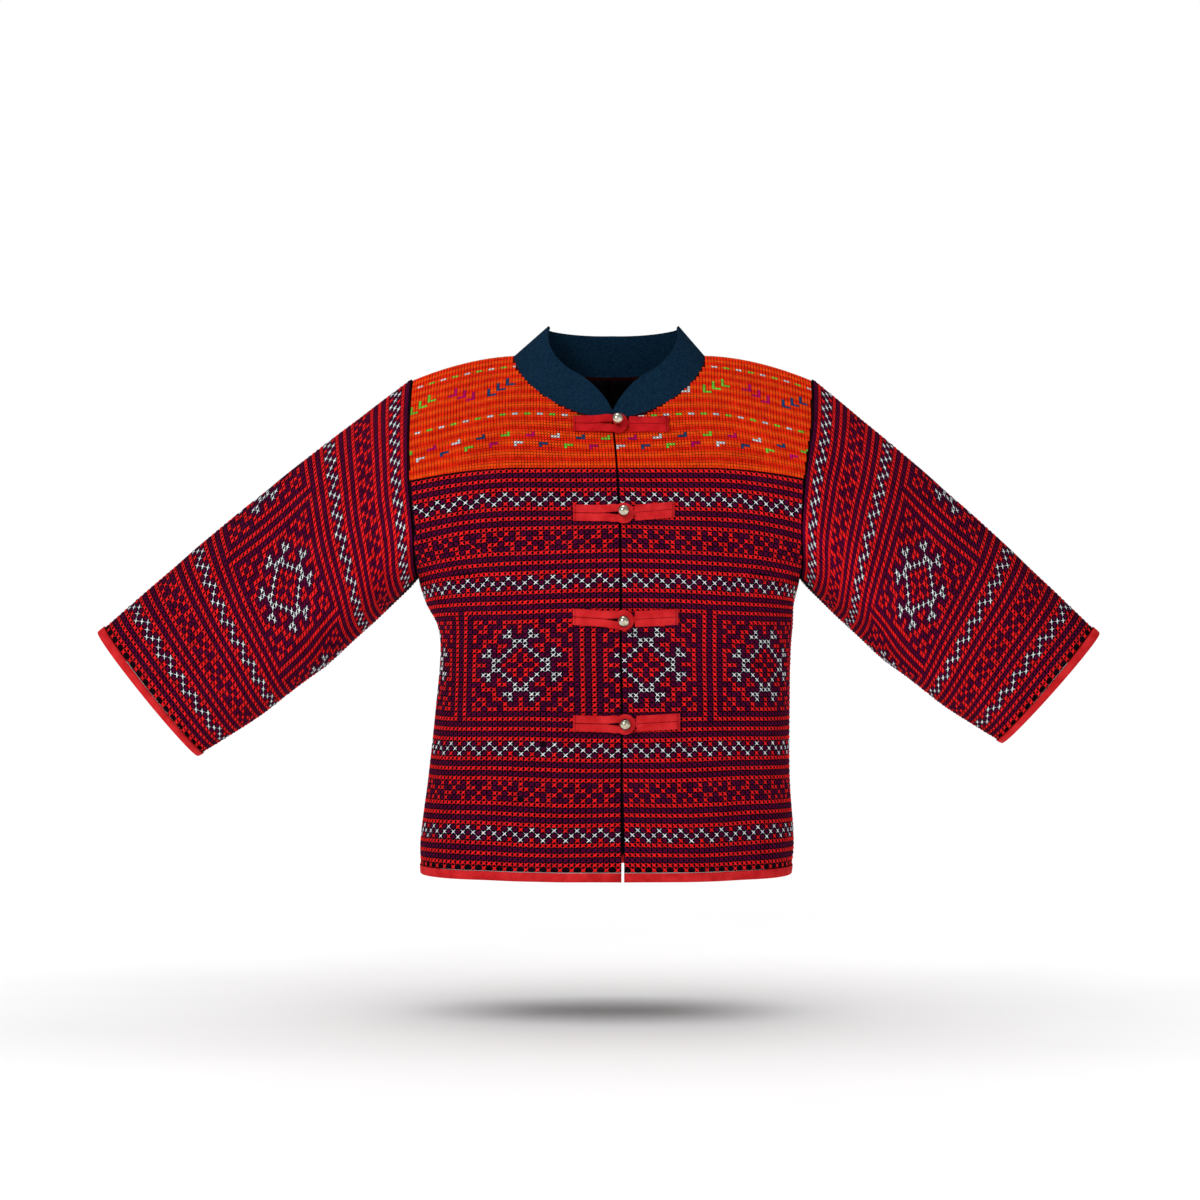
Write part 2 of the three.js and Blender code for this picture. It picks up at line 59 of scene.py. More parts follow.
# The body by height: side lines, centre line, and depth in front and behind.
LEVELS = {
    "z": (-517, -485, -420, -345, -295, -270, -249, -222, -165, -110, -60, 0),
    "right": (191, 192, 184, 176, 172, 175, 186, 194, 195, 199, 200, 200),
    "left": (179, 182, 178, 178, 179, 181, 182, 188, 185, 189, 196, 200),
    "centre": (10, 10, 9, 9, 8, 8, 8, 8, 7, 4, 0, 0),
    "front": (113, 112, 107, 106, 112, 116, 119, 121, 121, 121, 121, 121),
    "back": (105, 103, 96, 92, 97, 100, 102, 104, 104, 104, 104, 104),
}

# Upright folds: face, side, share of the way to the side, low, high, half width, height.
BODY_FOLDS = (
    ("front", "right", 0.3, -560, -330, 0.09, 2.5),
    ("front", "right", 0.66, -560, -300, 0.12, -4),
    ("front", "right", 0.72, -330, -190, 0.12, -4),
    ("front", "left", 0.38, -560, -370, 0.1, 2),
    ("front", "left", 0.7, -560, -290, 0.12, -4),
    ("front", "left", 0.74, -300, -180, 0.11, -3),
    ("back", "right", 0.2, -560, -260, 0.1, 4),
    ("back", "right", 0.6, -560, -240, 0.12, -5),
    ("back", "left", 0.3, -560, -300, 0.11, 4),
    ("back", "left", 0.68, -560, -220, 0.12, -5),
)
# Creases from the armpits: face, side, from and to (share, level), half width, height.
CREASES = (
    ("front", "right", (1.02, -196), (0.3, -262), 7, -2.4),
    ("front", "right", (1.0, -225), (0.42, -322), 8, -2.2),
    ("front", "right", (1.0, -180), (0.4, -206), 6, 1.8),
    ("front", "left", (1.02, -200), (0.34, -256), 7, -2.2),
    ("front", "left", (1.0, -228), (0.46, -316), 8, -2.2),
    ("back", "right", (1.0, -205), (0.4, -280), 9, -2.2),
    ("back", "left", (1.0, -205), (0.44, -290), 9, -2.2),
)
CREASE_SPAN = 190  # millimetres from the centre to the side, to set creases out
RIPPLE = 0.6  # height of the small waves all over the cloth
FOLD_TOP, FOLD_FOOT = 60, 40  # heights over which an upright fold fades at its two ends


def mix(low, high, part):
    return low + (high - low) * part


def ramp(t):
    t = np.clip(t, 0, 1)
    return t * t * (3 - 2 * t)


def hump(distance):
    return np.exp(-(distance**2))


def together(*values):
    """Numbers or arrays, brought to one shape."""
    return np.broadcast_arrays(*(np.asarray(value, float) for value in values))


def curve(table, key):
    """A smooth curve through one row of a table, as a function of its z."""
    z, value = np.array(table["z"], float), np.array(table[key], float)
    slope = np.empty_like(z)
    slope[1:-1] = (value[2:] - value[:-2]) / (z[2:] - z[:-2])
    slope[0] = (value[1] - value[0]) / (z[1] - z[0])
    slope[-1] = (value[-1] - value[-2]) / (z[-1] - z[-2])

    def at(where):
        here = np.clip(where, z[0], z[-1])
        i = np.clip(np.searchsorted(z, here) - 1, 0, len(z) - 2)
        span = z[i + 1] - z[i]
        t = (here - z[i]) / span
        step = (value[i + 1] - value[i]) * t * t * (3 - 2 * t)
        return value[i] + step + span * t * (1 - t) * ((1 - t) * slope[i] - t * slope[i + 1])

    return at


LEVEL = {key: curve(LEVELS, key) for key in LEVELS if key != "z"}


def body_fold(face, side, share, level):
    """Height of the folds and creases, fading out at the side seam."""
    height = RIPPLE * np.sin(share * 17 + level / 31) * np.sin(level / 23 + 4 * share)
    for where, half, middle, low, high, width, tall in BODY_FOLDS:
        if (where, half) == (face, side):
            ends = ramp((high - level) / FOLD_TOP) * ramp((level - low) / FOLD_FOOT)
            height = height + tall * ends * hump((share - middle) / width)
    for where, half, start, end, width, tall in CREASES:
        if (where, half) == (face, side):
            run, fall = (end[0] - start[0]) * CREASE_SPAN, end[1] - start[1]
            x, z = (share - start[0]) * CREASE_SPAN, level - start[1]
            way = (x * run + z * fall) / (run**2 + fall**2)
            off = (x * fall - z * run) / math.hypot(run, fall)
            height = height + tall * ramp(way * 4) * ramp((1 - way) * 2) * hump(off / width)
    return height * (1 - share**8)


def reach_of(face, level):
    """Depth of the armhole at a level, as a share of the body's depth."""
    climb = np.clip((level - ARMPIT) / -ARMPIT, 0, 1)
    turn = np.maximum(1 - climb / ARMHOLE_TURN, 0)
    return ARMHOLE_REACH[face] * np.sqrt(1 - turn * turn)


def body(face, side, share, level):
    """Outer surface of the body at a share of the way to the side and a level at the centre."""
    share, level = together(share, level)
    climb = np.clip((level - ARMPIT) / -ARMPIT, 0, 1)
    centre = LEVEL["centre"](level)
    x = centre + share * (SIGN[side] * LEVEL[side](level) - centre)
    out = np.maximum(np.abs(x) - NECK_HALF["left"], 0) / (SHOULDER_X - NECK_HALF["left"])
    shoulder = -SHOULDER_DROP * out**SHOULDER_BEND
    z = np.where(climb > 0, ARMPIT + climb * (shoulder - ARMPIT), level)
    bend = CHEST_BEND[face]
    slope = (1 - climb**bend) ** (1 / bend)
    round_off = 1 - share**SQUARENESS * (1 - reach_of(face, level) ** SQUARENESS)
    depth = LEVEL[face](level) * slope * np.maximum(round_off, 0) ** (1 / SQUARENESS)
    depth = np.maximum(depth + body_fold(face, side, share, level) * ramp(depth / 20), 0)
    return np.stack([x, SIGN[face] * (SEAM / 2 + depth), z], -1)


def even_share(face, part, level):
    """Share of the way to the side that spreads points evenly round a level's curve."""
    end = np.arccos(reach_of(face, level) ** (SQUARENESS / 2))
    return (np.sin(part * end) / np.sin(end)) ** (2 / SQUARENESS)


def unit(vectors):
    return vectors / np.maximum(np.linalg.norm(vectors, axis=-1, keepdims=True), 1e-12)


# The surface's slope is found between two points close by, which stay inside its edges.
SHARE_STEP, SHARE_LEAST, SHARE_MOST = 0.004, 0.002, 0.9999
LEVEL_STEP, LEVEL_BELOW, LEVEL_ABOVE = 1, -1.5, -0.5
CENTRE_BAND = 0.02  # points nearer the centre line than this share keep to their own side of it


def body_out(face, side, share, level, out):
    """The body surface moved out along its normal, kept on its own side of the seam planes."""
    share, level = together(share, level)
    u0 = np.clip(share - SHARE_STEP, 0, SHARE_MOST)
    u1 = np.clip(share + SHARE_STEP, SHARE_LEAST, SHARE_MOST)
    v0 = np.clip(level - LEVEL_STEP, HEM, LEVEL_BELOW)
    v1 = np.clip(level + LEVEL_STEP, HEM, LEVEL_ABOVE)
    across = body(face, side, u1, level) - body(face, side, u0, level)
    up = body(face, side, share, v1) - body(face, side, share, v0)
    normal = unit(np.cross(across, up)) * -SIGN[face] * SIGN[side]
    point = body(face, side, share, level)
    flat_x = point[..., 0].copy()
    point = point + normal * np.asarray(out, float)[..., None]
    point[..., 0] = np.where(share < CENTRE_BAND, flat_x, point[..., 0])
    point[..., 1] = SIGN[face] * np.maximum(SIGN[face] * point[..., 1], SEAM / 2)
    return point


def free_edge(side, level):
    """Share at which a front's free edge lies; the edges part a little towards the hem."""
    parted = ramp((PLACKET["from"] - level) / PLACKET["over"])
    return mix(PLACKET["closed"], PLACKET["open"], parted) / LEVEL[side](level)


def shader_group(name, inputs, outputs):
    """A shader group with named sockets: the group, its input node and its output node."""
    group = bpy.data.node_groups.new(name, "ShaderNodeTree")
    for sockets, way in ((inputs, "INPUT"), (outputs, "OUTPUT")):
        for label, kind in sockets.items():
            group.interface.new_socket(label, in_out=way, socket_type=f"NodeSocket{kind}")
    return group, group.nodes.new("NodeGroupInput"), group.nodes.new("NodeGroupOutput")


def wire(tree, *links):
    """Links sockets, each given as a node and its output, then a node and its input."""
    for source, output, target, socket in links:
        tree.links.new(source.outputs[output], target.inputs[socket])


def settle(node, values):
    for socket, value in values.items():
        node.inputs[socket].default_value = value


# Dye: colour that wanders between two shades in soft patches.
DYE, given, result = shader_group(
    "dye",
    {"Dark": "Color", "Light": "Color", "Patches": "Float", "Stretch": "Vector"},
    {"Colour": "Color"},
)
place = DYE.nodes.new("ShaderNodeTexCoord")
stretched = DYE.nodes.new("ShaderNodeVectorMath")
stretched.operation = "MULTIPLY"
cloud = DYE.nodes.new("ShaderNodeTexNoise")
settle(cloud, {"Detail": 3})
sharper = DYE.nodes.new("ShaderNodeMapRange")
settle(sharper, {"From Min": 0.35, "From Max": 0.65})
blended = DYE.nodes.new("ShaderNodeMix")
blended.data_type = "RGBA"
wire(
    DYE,
    (place, "Object", stretched, 0),
    (given, "Stretch", stretched, 1),
    (stretched, "Vector", cloud, "Vector"),
    (given, "Patches", cloud, "Scale"),
    (cloud, "Fac", sharper, "Value"),
    (sharper, "Result", blended, "Factor"),
    (given, "Dark", blended, "A"),
    (given, "Light", blended, "B"),
    (blended, "Result", result, "Colour"),
)

# Weave: threads that cross, raised one after the other.
WEAVE, given, result = shader_group(
    "weave", {"Threads": "Float", "Strength": "Float"}, {"Normal": "Vector"}
)
place = WEAVE.nodes.new("ShaderNodeTexCoord")
total = WEAVE.nodes.new("ShaderNodeMath")
total.operation = "ADD"
for k, way in enumerate(("X", "Z")):
    wave = WEAVE.nodes.new("ShaderNodeTexWave")
    wave.bands_direction = way
    settle(wave, {"Distortion": 0.6})
    wire(
        WEAVE,
        (given, "Threads", wave, "Scale"),
        (place, "Object", wave, "Vector"),
        (wave, "Fac", total, k),
    )
raised = WEAVE.nodes.new("ShaderNodeBump")
settle(raised, {"Distance": 0.3 * MM})
wire(
    WEAVE,
    (given, "Strength", raised, "Strength"),
    (total, "Value", raised, "Height"),
    (raised, "Normal", result, "Normal"),
)

MATT = 0.03  # cotton thread and cloth hardly shine
THREAD_ROUGHNESS, THREAD_PATCHES = 0.8, 170


def dyed(name, dark, light, roughness, patches, stretch=(1, 1, 1)):
    """A dyed material, with its shader to build on."""
    made = bpy.data.materials.new(name)
    made.use_nodes = True
    shader = made.node_tree.nodes["Principled BSDF"]
    settle(shader, {"Roughness": roughness, "Specular IOR Level": MATT})
    dye = made.node_tree.nodes.new("ShaderNodeGroup")
    dye.node_tree = DYE
    settle(dye, {"Dark": (*dark, 1), "Light": (*light, 1), "Patches": patches, "Stretch": stretch})
    wire(made.node_tree, (dye, "Colour", shader, "Base Color"))
    return made, shader


def woven(name, dark, light, roughness, patches, thread, strength, stretch=(1, 1, 1)):
    """A dyed cloth of threads this wide, in millimetres."""
    made, shader = dyed(name, dark, light, roughness, patches, stretch)
    weave = made.node_tree.nodes.new("ShaderNodeGroup")
    weave.node_tree = WEAVE
    settle(weave, {"Threads": 1 / (2 * math.pi * thread * MM), "Strength": strength})
    wire(made.node_tree, (weave, "Normal", shader, "Normal"))
    return made


def thread(name, colour, spread=0.22):
    """A thread's material: this colour, darker and lighter by the spread."""
    dark = tuple(c * (1 - spread) for c in colour)
    light = tuple(min(c * (1 + spread), 1) for c in colour)
    return dyed(name, dark, light, THREAD_ROUGHNESS, THREAD_PATCHES)[0]


ground_black = woven(
    "ground_black", (0.003, 0.001, 0.003), (0.009, 0.003, 0.008), 0.95, 60, 0.5, 0.4
)
# Threads by the letter that charts use: material, and half the width of a thread.
THREADS = {
    "r": (thread("thread_red", (0.84, 0.012, 0.014)), 0.86),
    "p": (thread("thread_plum", (0.085, 0.001, 0.03)), 0.98),
    "w": (thread("thread_white", (0.8, 0.83, 0.9)), 0.58),
}


def add_object(name, data):
    made = bpy.data.objects.new(name, data)
    bpy.context.scene.collection.objects.link(made)
    return made


def to_mesh(bm, name):
    mesh = bpy.data.meshes.new(name)
    bm.to_mesh(mesh)
    bm.free()
    return mesh


def place_object(name, mesh, materials, nodes=()):
    """Puts a mesh in the scene as a piece that stands for these nodes."""
    made = add_object(name, mesh)
    for finish in materials:
        mesh.materials.append(finish)
    mesh.polygons.foreach_set("use_smooth", [True] * len(mesh.polygons))
    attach(made, "root")
    if nodes:
        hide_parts(*nodes)
    return made


def look_out(normals, middles, core):
    """1 where normals point away from the core: a spot, or an upright line if it has no height."""
    away = middles - np.array([core[0], core[1], core[2] or 0])
    if core[2] is None:
        away[..., 2] = 0
    return 1 if (normals * away).sum() > 0 else -1


WELD = 0.02  # points of a ring closer than this are one


def cloth(name, points, wall, finish, node, wraps=False, core=(0, 0, None)):
    """A sheet through a grid of points in millimetres, thickened inwards away from its outside."""
    rows, columns = points.shape[:2]
    bm = bmesh.new()
    bm.loops.layers.uv.new("OFBake")
    bmesh.ops.create_grid(bm, x_segments=columns - 1, y_segments=rows - 1, size=0.5, calc_uvs=True)
    for vertex, point in zip(bm.verts, points.reshape(-1, 3)):
        vertex.co = point * MM
    if wraps:
        bmesh.ops.remove_doubles(bm, verts=bm.verts, dist=WELD * MM)
    bm.normal_update()
    normals = np.array([face.normal for face in bm.faces])
    middles = np.array([face.calc_center_median() for face in bm.faces]) / MM
    if look_out(normals, middles, core) < 0:
        bmesh.ops.reverse_faces(bm, faces=bm.faces)
    made = place_object(name, to_mesh(bm, name), [finish], (node,))
    thick = made.modifiers.new("wall", "SOLIDIFY")
    thick.thickness = wall * MM
    thick.offset = -1
    return made


CLOTH_WALL = 1.5  # ground cloth under the stitches
STITCH_DEPTH = 0.8  # how far the ground cloth lies below the tops of the stitches
# One thread of a cross: how far in from a corner it starts, and its height and width there;
# its height at the middle where it lies under or over; how far its edges drop; its bend.
THREAD_START, END_RISE, END_WIDTH = 0.07, 0.1, 0.72
UNDER, OVER, EDGE_DROP, UNEVEN = 0.55, 1.0, 0.55, 0.04
MAP_WIDTH = 0.12  # half the width of a thread on the flat map, as a share of a cell


def cross_stitches(name, corners, chart, letters, core=(0, 0, None)):
    """One cross of two threads in each charted cell of a grid of corners, as one joined mesh."""
    rows, columns = corners.shape[0] - 1, corners.shape[1] - 1
    cells = []
    for r in range(rows):
        for c in range(columns):
            letter = chart(r, c)
            if letter in letters and not np.isnan(corners[r : r + 2, c : c + 2]).any():
                cells.append((r, c, letters.index(letter)))
    r, c, colour = np.array(cells).T
    a, b = corners[r, c], corners[r, c + 1]
    d, e = corners[r + 1, c + 1], corners[r + 1, c]
    normal = unit(np.cross(d - a, e - b))
    normal = normal * look_out(normal, (a + b + d + e) / 4, core)
    half = np.array([THREADS[letter][1] for letter in letters])[colour, None]
    bend = np.random.default_rng(len(cells)).uniform(-UNEVEN, UNEVEN, (2, len(cells), 1))
    spots, flats = [], []
    for over, (start, end, lift) in enumerate(((a, d, UNDER), (b, e, OVER))):
        way = end - start
        across = unit(np.cross(way, normal))
        length = np.linalg.norm(way, axis=-1, keepdims=True)
        for s, rise, wide in (
            (THREAD_START, END_RISE, END_WIDTH),
            (0.5, lift, 1),
            (1 - THREAD_START, END_RISE, END_WIDTH),
        ):
            line = start + way * s + across * bend[over] * length * (s == 0.5)
            for shift in (-1, 0, 1):
                up = STITCH_DEPTH * (rise - EDGE_DROP * abs(shift))
                spots.append(line + across * half * wide * shift + normal * up)
                u = (c + (1 - s if over else s) + MAP_WIDTH * shift) / columns
                v = (r + s + (MAP_WIDTH if over else -MAP_WIDTH) * shift) / rows
                flats.append(np.stack([u, v], -1))
    spots = np.concatenate([np.stack(spots[:9], 1), np.stack(spots[9:], 1)]).reshape(-1, 3)
    flats = np.concatenate([np.stack(flats[:9], 1), np.stack(flats[9:], 1)]).reshape(-1, 2)

    # A long grid two faces wide, cut into ridges two faces long, one for each thread.
    bm = bmesh.new()
    bm.loops.layers.uv.new("OFBake")
    bmesh.ops.create_grid(bm, x_segments=2, y_segments=6 * len(cells) - 1, size=0.5)
    between = [face for k, face in enumerate(bm.faces) if k // 2 % 3 == 2]
    bmesh.ops.delete(bm, geom=between, context="FACES")
    mesh = to_mesh(bm, name)
    mesh.vertices.foreach_set("co", (spots * MM).ravel())
    corner_of = np.empty(len(mesh.loops), np.int32)
    mesh.loops.foreach_get("vertex_index", corner_of)
    mesh.uv_layers["OFBake"].data.foreach_set("uv", flats[corner_of].ravel())
    tints = np.tile(colour, 2)[corner_of[::4] // 9]
    mesh.polygons.foreach_set("material_index", tints.astype(np.int32))
    mesh.update()
    return place_object(name, mesh, [THREADS[letter][0] for letter in letters])


# The chart: a letter is one cross, row by row upwards.
ZIGZAG = ("wprp", "pwpw", "rpwp")
LATTICE = ("prprprpppr", "pprpprrprr", "rrprrpprpp", "rppprprprp")
# One quarter of the hooked diamond, as (across, up) from its middle; what isn't listed is plum.
WHITE = {(0, 5), (1, 5), (1, 4), (2, 3), (3, 2), (4, 1), (5, 1), (5, 0)}
WHITE |= {(2, 6), (3, 6), (2, 7), (6, 2), (7, 2), (6, 3)}
RED = {(0, 0), (0, 3), (3, 0), (1, 1), (1, 2), (2, 1), (3, 4), (4, 3), (4, 4)}
RED |= {(0, 7), (0, 8), (7, 0), (8, 0), (0, 9), (1, 9), (2, 9), (3, 9)}
RED |= {(9, 0), (9, 1), (9, 2), (9, 3), (3, 8), (8, 3), (4, 7), (5, 7), (5, 6), (5, 5)}
RED |= {(6, 5), (7, 5), (7, 4), (5, 9), (6, 9), (7, 8), (7, 7), (8, 7), (9, 6), (9, 5)}
RED |= {(8, 9), (9, 9), (9, 8)}
BLOCK_PERIOD, BLOCK_HALF = 24, 11  # stitches from block to block, and from its middle to its edge
BAND_HEIGHTS = {"z": len(ZIGZAG), "x": len(LATTICE), "B": 2 * BLOCK_HALF + 1}
# The bands from hem to yoke: r, p and a are plain rows, z a zigzag, x a lattice, B the block.
BANDS = "arprprzrprprxrprprzrprpBprprzrprprxrprprzrprprp"
CHART = [(band, k) for band in BANDS for k in range(BAND_HEIGHTS.get(band, 1))]


def block_letter(row, column):
    """The block: a diamond with hooks, in a plum ring, a red frame and a shared plum line."""
    across = abs((column + BLOCK_PERIOD // 2) % BLOCK_PERIOD - BLOCK_PERIOD // 2)
    cell = (across, abs(row))
    if across > BLOCK_HALF or max(cell) == BLOCK_HALF - 1:
        return "p"
    if max(cell) == BLOCK_HALF or cell in RED:
        return "r"
    return "w" if cell in WHITE else "p"


def coarse_letter(row, column):
    """The letter of the panels' and sleeves' chart at a row and column."""
    band, k = CHART[min(row, len(CHART) - 1)]
    if band == "a":
        return "r" if column % 2 else " "
    if band == "z":
        return ZIGZAG[k][column % len(ZIGZAG[k])]
    if band == "x":
        return LATTICE[k][column % len(LATTICE[k])]
    return block_letter(k - BLOCK_HALF, column) if band == "B" else band


def arc(points):
    """Distance along a line of points, from its first one."""
    steps = np.linalg.norm(np.diff(points, axis=0), axis=-1)
    return np.concatenate([[0], np.cumsum(steps)])


def row_levels(face, low, high, rows):
    """Levels that divide a face into rows of equal length along the cloth."""
    fine = np.linspace(low, high, 300)
    length = arc(body(face, "left", 0.25, fine))
    return np.interp(np.linspace(0, length[-1], rows + 1), length, fine)


# Rows sink towards the armholes: by how much, at what level, and over what height.
DROOP, DROOP_LEVEL, DROOP_REACH = 15, -200, 58
# Rows also waver: how gently along and up the cloth, and the height over which that fades.
WAVE_ALONG, WAVE_UP, WAVE_FADE = 29, 47, 25
SIDE_LIMIT = 0.995  # share of the way to the side where stitching ends
PART_STITCH = 0.65  # share of a stitch that may reach past that


def stitch_corners(face, side, levels, width, start, columns, waver=0.7):
    """Corners of stitch cells on one half of a face; those past the side seam are left out."""
    corners = np.full((len(levels), columns + 1, 3), np.nan)
    places = width * np.arange(columns + 1)
    for i, level in enumerate(levels):
        begin = start(level)
        shares = mix(begin, SIDE_LIMIT, even_share(face, np.linspace(0, 1, 160), level))
        length = arc(body_out(face, side, shares, level, -STITCH_DEPTH))
        at = np.interp(places, length, shares)
        good = places <= length[-1] + PART_STITCH * width
        calm = min(1, (level - levels[0]) / WAVE_FADE, (levels[-1] - level) / WAVE_FADE)
        wander = waver * np.sin(places / WAVE_ALONG + level / WAVE_UP) * calm
        sunk = DROOP * hump((level - DROOP_LEVEL) / DROOP_REACH) * at**3
        row = np.clip(level + wander - sunk, levels[0], levels[-1])
        corners[i, good] = body_out(face, side, at[good], row[good], -STITCH_DEPTH)
    return corners


ROWS, COLUMNS = 82, 48  # stitch rows from hem to yoke, and stitches across one half
STITCH = {"right": 5.6, "left": 5.2}  # width of one stitch
FOOT, HEAD = HEM + BINDING + SEAM, YOKE - SEAM / 2
EDGE_SHARE = 0.002  # bare cloth between a free edge and its first stitch, as a share
BLOCK_COLUMN = {"right": 17, "left": 20}  # stitches from the placket to the middle of a block
# Stitches that have come away from the right front, by row and column.
LOST = {(25, 13), (14, 17)}


def front_letter(side):
    """The chart of one front, counted from the placket."""

    def letter(row, column):
        if side == "right" and (row, column) in LOST:
            return " "
        shift = BLOCK_COLUMN[side]
        return coarse_letter(row, shift - column if side == "right" else column + shift)

    return letter


for side in SIDES:
    levels = np.linspace(FOOT, HEAD, 90)[:, None]
    edge = free_edge(side, levels)
    shares = mix(edge, 1, even_share("front", np.linspace(0, 1, 70)[None, :], levels))
    grid = body_out("front", side, shares, levels + 0 * shares, -STITCH_DEPTH)
    panel = cloth(
        f"front_{side}_cloth", grid, CLOTH_WALL, ground_black, f"front_{side}"
    )
    corners = stitch_corners(
        "front", side, row_levels("front", FOOT, HEAD, ROWS), STITCH[side],
        lambda level: float(free_edge(side, level)) + EDGE_SHARE, COLUMNS,
    )
    worked = cross_stitches(
        f"front_{side}_stitches", corners, front_letter(side), "rpw"
    )

# ---- back panel ----
# One piece of the same embroidered cotton, sewn to the fronts at the sides.
# Its rows run on at the same heights, and its middle block lies on the centre line.

BACK_STITCH, BACK_FLAT, BACK_AREA = 5.6, (0.488, 0.394), 0.174
levels = np.linspace(FOOT, HEAD, 90)[:, None]
parts = np.linspace(0, 1, 64)[None, :]
halves = {
    side: body_out("back", side, even_share("back", parts, levels), levels, -STITCH_DEPTH)
    for side in SIDES
}
grid = np.concatenate([halves["right"][:, ::-1], halves["left"][:, 1:]], 1)
panel = cloth("back_cloth", grid, CLOTH_WALL, ground_black, "back")
works = []
for side in SIDES:
    corners = stitch_corners(
        "back", side, row_levels("back", FOOT, HEAD, ROWS), BACK_STITCH, lambda level: 0.0, COLUMNS,
    )
    works.append(
        cross_stitches(
            f"back_{side}_stitches",
            corners,
            lambda r, c: coarse_letter(r, c if side == "left" else -1 - c),
            "rpw",
        )
    )

# ---- sleeves ----
# Two tubes of the same cloth, set into the armholes, with the rows running round the arm.
# A sleeve is wide at the top and narrows to the cuff, and creases where the arm would bend.

# Slope below level, length of the upper edge, and the cuff's width and depth.
SLEEVES = {
    "right": {"slope": 39.1, "length": 403, "width": 154, "depth": 70},
    "left": {"slope": 41.7, "length": 383, "width": 142, "depth": 68},
}
SLEEVE_BLOCK = 112  # distance round the sleeve, from its upper edge, to the middle of a block
SLEEVE_SAG, SLEEVE_CAP = 11, 5
ARMHOLE_GAP, SLEEVE_CORE = 0.4, 330  # clearance at the armhole; x of a line inside the sleeve
SLEEVE_STITCH, SLEEVE_ROWS, SLEEVE_COLUMNS = 5.5, 79, 100  # width; rows along; stitches round
UNDERARM_OVERLAP = 3.5  # how far stitches run past the seam under the arm
BLOCK_FROM_END = 26  # columns from the end of the chart back to the middle of the block
# Creases: from and to (share along, turn round), half width, height.
SLEEVE_FOLDS = (
    ((0.02, 0.42), (0.3, 0.3), 0.06, -5),
    ((0.05, 0.47), (0.5, 0.4), 0.05, -5),
    ((0.3, 0.16), (0.62, 0.24), 0.07, -3),
    ((0.04, 0.6), (0.4, 0.72), 0.06, -6),
    ((0.45, 0.55), (0.8, 0.66), 0.06, -4),
)


def sleeve(side, part, turn):
    """Outer surface of a sleeve at a share of its length and a turn round it."""
    part, turn = together(part, np.asarray(turn, float) % 1)
    size = SLEEVES[side]
    tilt = math.radians(size["slope"])
    outward = np.array([SIGN[side] * math.cos(tilt), 0, -math.sin(tilt)])
    down = np.array([-SIGN[side] * math.sin(tilt), 0, -math.cos(tilt)])
    angle = 2 * math.pi * turn
    level = np.minimum(ARMPIT - ARMPIT * (1 + np.cos(angle)) / 2, -0.02)
    in_front = (turn < 0.5)[..., None]
    root = np.where(in_front, body("front", side, 1.0, level), body("back", side, 1.0, level))
    root = root + np.array([SIGN[side] * ARMHOLE_GAP, 0, 0])
    tip = np.array([SIGN[side] * SHOULDER_X, 0, -SHOULDER_DROP])
    middle = tip + outward * size["length"] + down * size["width"] / 2
    cuff = middle - down * (np.cos(angle) * size["width"] / 2)[..., None]
    cuff[..., 1] = -np.sin(angle) * size["depth"] / 2
    fullness = np.sin(math.pi * part)
    sag = SLEEVE_SAG * np.maximum(-np.cos(angle), 0) * np.maximum(fullness, 0) ** 0.7
    cap = SLEEVE_CAP * np.maximum(np.cos(angle), 0) * fullness
    point = root + (cuff - root) * part[..., None] + down * (sag - cap)[..., None]
    fold = RIPPLE * np.sin(part * 21 + 9 * turn) * fullness
    for start, end, width, tall in SLEEVE_FOLDS:
        way = (part - start[0]) / (end[0] - start[0])
        line = mix(start[1], end[1], way)
        fold = fold + tall * ramp(way * 3) * ramp((1 - way) * 3) * hump((turn - line) / width)
    point = point - down * (np.cos(angle) * fold)[..., None]
    point[..., 1] -= np.sin(angle) * fold
    return point


SLEEVE_STEP = 0.01  # step along and round, between which the sleeve's slope is found


def sleeve_out(side, part, turn, out):
    """The sleeve's surface moved out along its normal; the armhole end stays in its plane."""
    part, turn = together(part, turn)
    low, high = np.clip(part - SLEEVE_STEP, 0, 1), np.clip(part + SLEEVE_STEP, 0, 1)
    along = sleeve(side, high, turn) - sleeve(side, low, turn)
    round_it = sleeve(side, part, turn + SLEEVE_STEP) - sleeve(side, part, turn - SLEEVE_STEP)
    normal = np.cross(along, round_it) * SIGN[side]
    normal[..., 0] = np.where(part <= 0, 0, normal[..., 0])
    return sleeve(side, part, turn) + unit(normal) * np.asarray(out, float)[..., None]


for side in SIDES:
    size = SLEEVES[side]
    end = 1 - BINDING / size["length"] - 0.001
    core = (SIGN[side] * SLEEVE_CORE, 0, None)
    turns = np.linspace(-0.5, 0.5, 97)[None, :]
    grid = sleeve_out(side, np.linspace(0, end, 80)[:, None], turns, -STITCH_DEPTH)
    panel = cloth(
        f"sleeve_{side}_cloth", grid, CLOTH_WALL, ground_black,
        f"sleeve_{side}", True, core,
    )
    shares = np.linspace(end, 0.001, SLEEVE_ROWS + 1)
    corners = np.full((SLEEVE_ROWS + 1, SLEEVE_COLUMNS + 1, 3), np.nan)
    fine = np.linspace(-0.5, 0.5, 240)
    first = BLOCK_FROM_END + 0.5 - SLEEVE_COLUMNS
    places = SLEEVE_BLOCK + SLEEVE_STITCH * (np.arange(SLEEVE_COLUMNS + 1) + first)
    for i, share in enumerate(shares):
        length = arc(sleeve(side, share, fine))
        length -= np.interp(0, fine, length)
        good = places > length[0] - UNDERARM_OVERLAP
        good &= places < length[-1] + UNDERARM_OVERLAP
        row = np.clip(share + 0.002 * np.sin(places / 31 + share * 9), shares[-1], end)
        at = np.interp(places, length, fine)
        corners[i, good] = sleeve_out(side, row[good], at[good], -STITCH_DEPTH)
    worked = cross_stitches(
        f"sleeve_{side}_stitches", corners,
        lambda r, c: coarse_letter(r, c - SLEEVE_COLUMNS + BLOCK_FROM_END),
        "rpw", core,
    )

